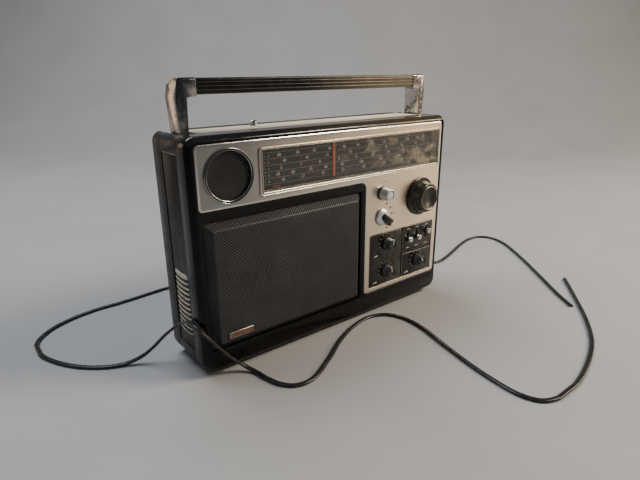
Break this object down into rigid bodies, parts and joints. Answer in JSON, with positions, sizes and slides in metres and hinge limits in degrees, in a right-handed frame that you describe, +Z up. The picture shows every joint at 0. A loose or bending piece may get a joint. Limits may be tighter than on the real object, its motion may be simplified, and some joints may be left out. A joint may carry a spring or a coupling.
{
  "type": "tabletop radio",
  "caption": "Portable table radio with folding carry handle, metal faceplate, long tuning dial, perforated loudspeaker grille, rotary and slide controls, telescopic antenna and flex leads.",
  "frame": {"origin": "centre of the radio's footprint, on the surface its feet stand on, measured without the leads", "axes": "+X along the front to the right as seen from the front, +Y from front to back, +Z up"},
  "size_m": [0.707, 0.466, 0.279],
  "materials": {
    "black_case": "satin black moulding",
    "side_panel": "matt black moulding",
    "brushed_face": "brushed satin with polished edges",
    "bright_trim": "bright plated",
    "grille_black": "satin black perforated sheet",
    "clear_lens": "clear acrylic",
    "dial_pale": "pale moulding",
    "dial_black": "printed black",
    "pointer_red": "orange red",
    "panel_black": "gloss black",
    "knob_black": "black",
    "knob_silver": "spun satin",
    "handle_chrome": "worn plating",
    "grip_black": "ribbed black",
    "steel": "zinc plated",
    "board": "phenolic board with parts",
    "iron": "laminated iron",
    "ferrite": "dark ferrite",
    "paper_cone": "pressed paper cone",
    "cell_blue": "cell jacket",
    "foot_rubber": "soft black",
    "flex_black": "glossy black sheath"
  },
  "bodies": {
    "case": {"front_frame": "black_case", "mid_shell": "black_case", "rear_cover": "black_case", "left_vent_panel": "side_panel", "right_side_panel": "side_panel", "faceplate": "brushed_face", "tweeter_trim_ring": "bright_trim", "tweeter_grille": "grille_black", "dial_window_frame": "bright_trim", "dial_lens": "clear_lens", "dial_tub": "dial_pale", "dial_scale": "dial_black", "speaker_grille": "grille_black", "badge_plate": "knob_silver", "control_panel_left": "panel_black", "switch_panel": "panel_black", "control_panel_lower": "panel_black", "slide_switch_bodies": "steel", "potentiometers": "steel", "band_switch_body": "board", "handle_pivot_pins": "steel", "top_trim": "brushed_face", "button_spring": "steel", "antenna_bracket": "steel", "battery_cells": "cell_blue", "chassis": "steel", "circuit_board": "board", "mains_transformer": "iron", "tuning_capacitor": "steel", "ferrite_rod": "ferrite", "woofer_frame": "iron", "woofer_cone": "paper_cone", "tweeter_driver": "iron", "case_screws": "steel", "feet": "foot_rubber", "lead_glands": "flex_black", "mains_lead": "flex_black", "second_lead": "flex_black"},
    "handle": {"handle_grip": "grip_black", "handle_grip_strip": "grip_black", "handle_left_arm": "handle_chrome", "handle_right_arm": "handle_chrome"},
    "tuning_control": {"tuning_spindle": "steel", "tuning_knob": "knob_black", "tuning_knob_cap": "knob_silver"},
    "pointer": {"dial_pointer": "pointer_red"},
    "drum": {"dial_drum": "dial_pale"},
    "fine_tuning": {"fine_tuning_knob": "knob_silver"},
    "band_selector": {"band_selector_knob": "knob_silver"},
    "volume": {"volume_knob": "knob_black"},
    "bass": {"bass_knob": "knob_black"},
    "treble": {"treble_knob": "knob_black"},
    "switch_1": {"switch_lever_1": "bright_trim"},
    "switch_2": {"switch_lever_2": "bright_trim"},
    "switch_3": {"switch_lever_3": "bright_trim"},
    "light_button": {"dial_light_button": "bright_trim"},
    "antenna": {"antenna_tube": "bright_trim"},
    "antenna_mid": {"antenna_section_2": "bright_trim"},
    "antenna_tip": {"antenna_section_3": "bright_trim"},
    "door": {"battery_door": "black_case"}
  },
  "joints": [
    {"name": "handle_fold", "type": "hinge", "parent": "case", "child": "handle", "pos_m": [0, 0.013, 0.219], "axis": [-1, 0, 0], "range_deg": [0, 90]},
    {"name": "tuning_spin", "type": "hinge", "parent": "case", "child": "tuning_control", "pos_m": [0.1276, -0.025, 0.1372], "axis": [0, 1, 0], "range_deg": [-960, 1600]},
    {"name": "pointer_slide", "type": "slide", "parent": "case", "child": "pointer", "axis": [1, 0, 0], "range_m": [-0.0845, 0.1405]},
    {"name": "drum_spin", "type": "hinge", "parent": "case", "child": "drum", "pos_m": [0.098, -0.025, 0.15], "axis": [0, 1, 0], "range_deg": [-231, 385]},
    {"name": "fine_tuning_turn", "type": "hinge", "parent": "case", "child": "fine_tuning", "pos_m": [0.0635, -0.025, 0.15], "axis": [0, 1, 0], "range_deg": [-140, 140]},
    {"name": "band_turn", "type": "hinge", "parent": "case", "child": "band_selector", "pos_m": [0.0633, -0.025, 0.122], "axis": [0, 1, 0], "range_deg": [-110, 13]},
    {"name": "volume_turn", "type": "hinge", "parent": "case", "child": "volume", "pos_m": [0.0723, -0.025, 0.0885], "axis": [0, 1, 0], "range_deg": [-150, 150]},
    {"name": "bass_turn", "type": "hinge", "parent": "case", "child": "bass", "pos_m": [0.0725, -0.025, 0.0535], "axis": [0, 1, 0], "range_deg": [-150, 150]},
    {"name": "treble_turn", "type": "hinge", "parent": "case", "child": "treble", "pos_m": [0.1285, -0.025, 0.0545], "axis": [0, 1, 0], "range_deg": [-150, 150]},
    {"name": "switch_1_slide", "type": "slide", "parent": "case", "child": "switch_1", "axis": [0, 0, 1], "range_m": [0, 0.005]},
    {"name": "switch_2_slide", "type": "slide", "parent": "case", "child": "switch_2", "axis": [0, 0, 1], "range_m": [0, 0.005]},
    {"name": "switch_3_slide", "type": "slide", "parent": "case", "child": "switch_3", "axis": [0, 0, -1], "range_m": [0, 0.005]},
    {"name": "light_button_press", "type": "slide", "parent": "case", "child": "light_button", "axis": [0, 0, -1], "range_m": [0, 0.0025], "stiffness_N_per_m": 400, "springref_m": -0.002, "deforming": ["button_spring"]},
    {"name": "antenna_tilt", "type": "hinge", "parent": "case", "child": "antenna", "pos_m": [-0.138, -0.025, 0.227], "axis": [0, -1, 0], "range_deg": [0, 90]},
    {"name": "antenna_extend_mid", "type": "slide", "parent": "antenna", "child": "antenna_mid", "axis": [1, 0, 0], "range_m": [0, 0.22]},
    {"name": "antenna_extend_tip", "type": "slide", "parent": "antenna_mid", "child": "antenna_tip", "axis": [1, 0, 0], "range_m": [0, 0.22]},
    {"name": "door_swing", "type": "hinge", "parent": "case", "child": "door", "pos_m": [0, 0.04275, 0.01155], "axis": [-1, 0, 0], "range_deg": [0, 75]}
  ],
  "couplings": [
    {"joint": "pointer_slide", "follows": "tuning_spin", "m_per_rad": 0.005},
    {"joint": "drum_spin", "follows": "tuning_spin", "ratio": 0.24}
  ]
}
